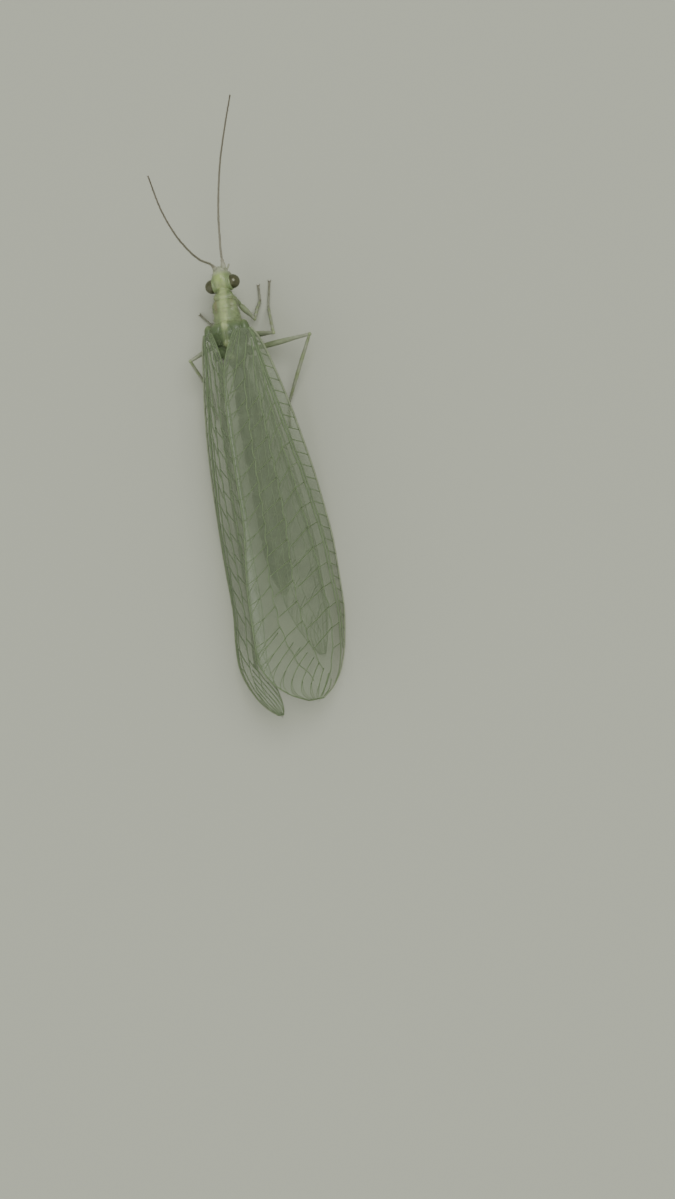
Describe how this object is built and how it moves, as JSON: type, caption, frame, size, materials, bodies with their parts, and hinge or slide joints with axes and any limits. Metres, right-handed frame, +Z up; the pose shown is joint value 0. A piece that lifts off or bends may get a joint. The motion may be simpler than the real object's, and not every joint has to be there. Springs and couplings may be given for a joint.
{
  "type": "green lacewing",
  "caption": "Green lacewing at rest on six legs, its net-veined wings folded like a roof over the long abdomen, long thin antennae forward.",
  "frame": {"origin": "middle of the whole animal, on the floor that it stands on", "axes": "+Y forwards along the body, the way the head points; +X to the animal's right; +Z up"},
  "size_m": [0.0064, 0.027, 0.0073],
  "materials": {
    "body": "satin green cuticle",
    "eye": "glossy, finely faceted",
    "antenna": "matt, ringed",
    "wing": "clear thin membrane with green veins",
    "leg": "satin pale green cuticle"
  },
  "bodies": {
    "root": {"head": "body", "eye_right": "eye", "eye_left": "eye", "antenna_right": "antenna", "antenna_left": "antenna", "prothorax": "body", "mesothorax": "body", "metathorax": "body", "abdomen": "body", "forewing_right": "wing", "forewing_left": "wing", "hindwing_right": "wing", "hindwing_left": "wing", "foreleg_right": "leg", "foreleg_left": "leg", "midleg_right": "leg", "midleg_left": "leg", "hindleg_right": "leg", "hindleg_left": "leg"}
  },
  "joints": []
}
